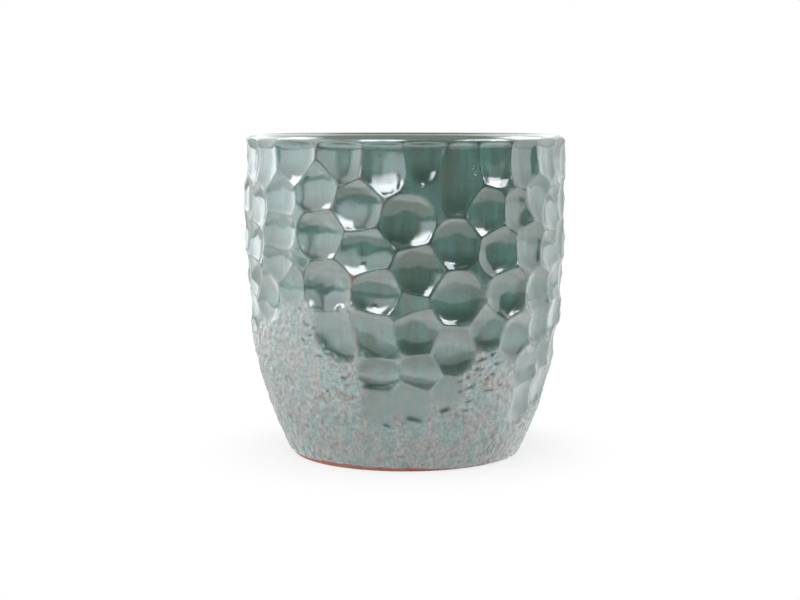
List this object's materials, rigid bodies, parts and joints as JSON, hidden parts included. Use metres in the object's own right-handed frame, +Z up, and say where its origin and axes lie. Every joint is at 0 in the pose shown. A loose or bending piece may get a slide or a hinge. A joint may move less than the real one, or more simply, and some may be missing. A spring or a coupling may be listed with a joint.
{
  "type": "flower pot",
  "caption": "Round ceramic flower pot with a hammered glazed outside, rounded lip, drain hole and bare foot ring; it holds soil and a plant.",
  "frame": {"origin": "middle of the foot, on the ground", "axes": "+Z up along the pot's axis, -Y towards the viewer of the picture, +X to the viewer's right"},
  "size_m": [0.3216, 0.3216, 0.3201],
  "materials": {
    "red_clay": "bare fired clay, matt and finely grained",
    "outer_glaze": "glossy teal-green glaze that pools dark in the scoops and breaks brown on the ridges",
    "inner_glaze": "glossy teal-green glaze, plain"
  },
  "bodies": {
    "root": {"clay_wall": "red_clay", "clay_floor": "red_clay", "outer_glaze": "outer_glaze", "inner_glaze": "inner_glaze"}
  },
  "joints": []
}
